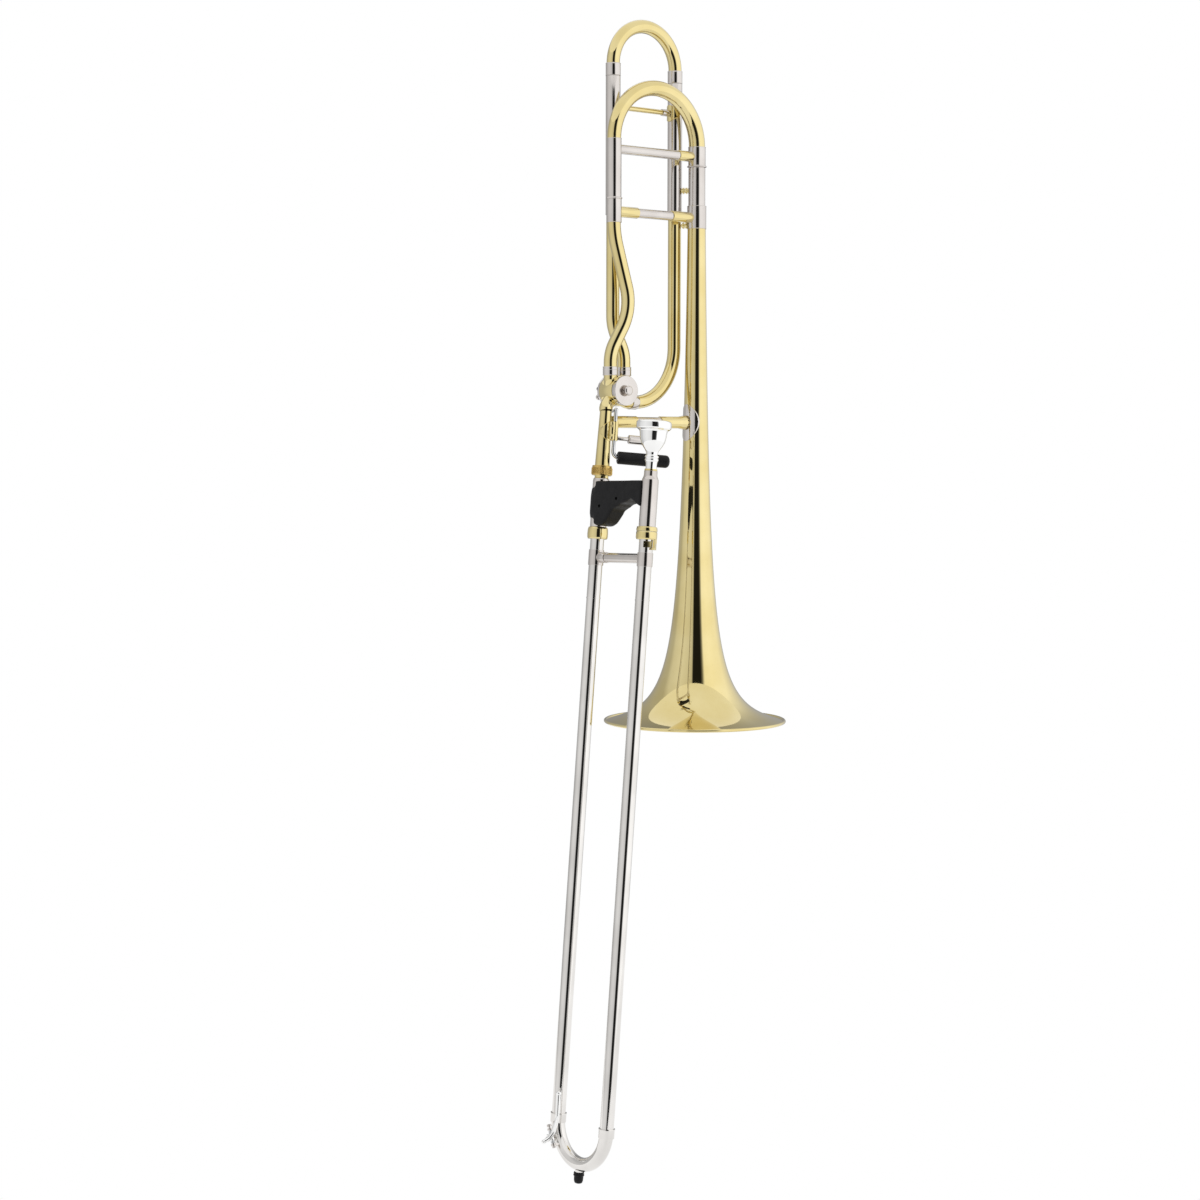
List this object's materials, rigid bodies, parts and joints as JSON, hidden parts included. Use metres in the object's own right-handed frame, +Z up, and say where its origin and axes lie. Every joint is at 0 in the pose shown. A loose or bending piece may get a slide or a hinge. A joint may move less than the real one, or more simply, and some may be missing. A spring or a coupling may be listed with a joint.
{
  "type": "trombone",
  "caption": "Open-wrap tenor trombone with a thumb-operated rotary valve, tuning slides, a hand slide with its lock and water key, and a mouthpiece.",
  "frame": {"origin": "centre of the bell's mouth, in the plane of its rim", "axes": "+Z up the bell's axis towards the tuning bow, +X from the slide towards the bell, -Y towards the mouthpiece side"},
  "size_m": [0.3369, 0.216, 1.3199],
  "materials": {
    "lacquered_brass": "clear lacquered, mirror polished",
    "nickel_silver": "polished nickel silver",
    "silver_plate": "bright silver plate",
    "polished_steel": "polished steel",
    "black_rubber": "matte black rubber",
    "felt": "pressed felt"
  },
  "bodies": {
    "bell_section": {"bell": "lacquered_brass", "bell_saddle": "nickel_silver", "fixed_brace_sockets": "lacquered_brass", "lower_brace_rod": "nickel_silver", "bell_brace_rod": "nickel_silver", "main_fixed_tubes": "nickel_silver", "f_outer_sleeves": "nickel_silver", "f_brace": "lacquered_brass", "f_brace_sockets": "nickel_silver", "f_spool_braces": "lacquered_brass", "f_left_tube": "lacquered_brass", "f_right_tube": "lacquered_brass", "valve_outlet_tube": "lacquered_brass", "valve_knuckles": "lacquered_brass", "valve_ferrules": "nickel_silver", "valve_casing": "lacquered_brass", "valve_cap": "nickel_silver", "valve_cap_knob": "nickel_silver", "valve_bearing_plate": "nickel_silver", "stop_bumpers": "black_rubber", "neckpipe": "lacquered_brass", "trigger_bracket": "lacquered_brass", "trigger_bracket_screws": "polished_steel", "thumb_rest": "nickel_silver"},
    "main_tuning_slide": {"main_tuning_bow": "lacquered_brass", "main_moving_legs": "nickel_silver", "main_right_ferrule": "nickel_silver", "upper_brace_rod": "nickel_silver", "upper_brace_socket": "lacquered_brass"},
    "f_tuning_slide": {"f_tuning_bow": "lacquered_brass", "f_moving_legs": "nickel_silver"},
    "rotor": {"valve_rotor": "nickel_silver", "stop_arm": "nickel_silver", "stop_arm_screw": "nickel_silver"},
    "link": {"valve_link": "nickel_silver"},
    "trigger": {"trigger_rod": "polished_steel", "thumb_paddle": "black_rubber"},
    "nut": {"slide_nut": "lacquered_brass"},
    "inner_slide": {"slide_collar": "lacquered_brass", "cork_barrels": "nickel_silver", "barrel_rings": "lacquered_brass", "barrel_felts": "felt", "inner_tubes": "nickel_silver", "hand_grip": "black_rubber", "grip_screws": "polished_steel", "inner_brace": "nickel_silver"},
    "lock_ring": {"slide_lock_ring": "lacquered_brass"},
    "mouthpiece": {"mouthpiece": "silver_plate"},
    "outer_slide": {"outer_tubes": "nickel_silver", "hand_brace": "nickel_silver", "hand_brace_sleeves": "nickel_silver", "outer_slide_rings": "nickel_silver", "slide_lock_lug": "lacquered_brass", "slide_bow": "nickel_silver", "rubber_bumper": "black_rubber", "water_key_saddle": "nickel_silver", "water_key_pivot": "nickel_silver", "water_key_spring": "polished_steel"},
    "water_key": {"water_key_lever": "nickel_silver", "water_key_pad": "felt"}
  },
  "joints": [
    {"name": "hand_slide", "type": "slide", "parent": "inner_slide", "child": "outer_slide", "axis": [-0.0995, -0.0199, -0.9948], "range_m": [0, 0.6]},
    {"name": "slide_swivel", "type": "hinge", "parent": "bell_section", "child": "inner_slide", "pos_m": [-0.135, 0.0072, 0.3], "axis": [0.0995, 0.0199, 0.9948], "range_deg": [-20, 20]},
    {"name": "slide_nut_turn", "type": "hinge", "parent": "bell_section", "child": "nut", "pos_m": [-0.1354, 0.00712, 0.29602], "axis": [0.0995, 0.0199, 0.9948], "range_deg": [0, 720]},
    {"name": "slide_lock", "type": "hinge", "parent": "inner_slide", "child": "lock_ring", "pos_m": [-0.14257, -0.08231, 0.22515], "axis": [0.0995, 0.0199, 0.9948], "range_deg": [-10, 20]},
    {"name": "thumb_trigger", "type": "hinge", "parent": "bell_section", "child": "trigger", "pos_m": [-0.1233, -0.00096, 0.34171], "axis": [-0.0995, -0.0199, -0.9948], "range_deg": [0, 18], "stiffness_Nm_per_rad": 0.35, "springref_deg": -9.74},
    {"name": "rotor_turn", "type": "hinge", "parent": "bell_section", "child": "rotor", "pos_m": [-0.1095, 0.012, 0.388], "axis": [0, -1, 0], "range_deg": [0, 90]},
    {"name": "link_turn", "type": "hinge", "parent": "rotor", "child": "link", "pos_m": [-0.11622, 0.0373, 0.38128], "axis": [0, -1, 0], "range_deg": [-90, 0]},
    {"name": "main_tuning", "type": "slide", "parent": "bell_section", "child": "main_tuning_slide", "axis": [0, 0, 1], "range_m": [0, 0.06]},
    {"name": "f_tuning", "type": "slide", "parent": "bell_section", "child": "f_tuning_slide", "axis": [0, 0, 1], "range_m": [0, 0.06]},
    {"name": "mouthpiece_pull", "type": "slide", "parent": "inner_slide", "child": "mouthpiece", "axis": [0.0995, 0.0199, 0.9948], "range_m": [0, 0.06]},
    {"name": "water_key_press", "type": "hinge", "parent": "outer_slide", "child": "water_key", "pos_m": [-0.2243, -0.01513, -0.45824], "axis": [0.0874, 0.4869, 0.8691], "range_deg": [0, 6.5], "stiffness_Nm_per_rad": 0.06, "springref_deg": -20.05}
  ],
  "couplings": [
    {"joint": "rotor_turn", "follows": "thumb_trigger", "ratio": 5},
    {"joint": "link_turn", "follows": "thumb_trigger", "ratio": -5}
  ]
}
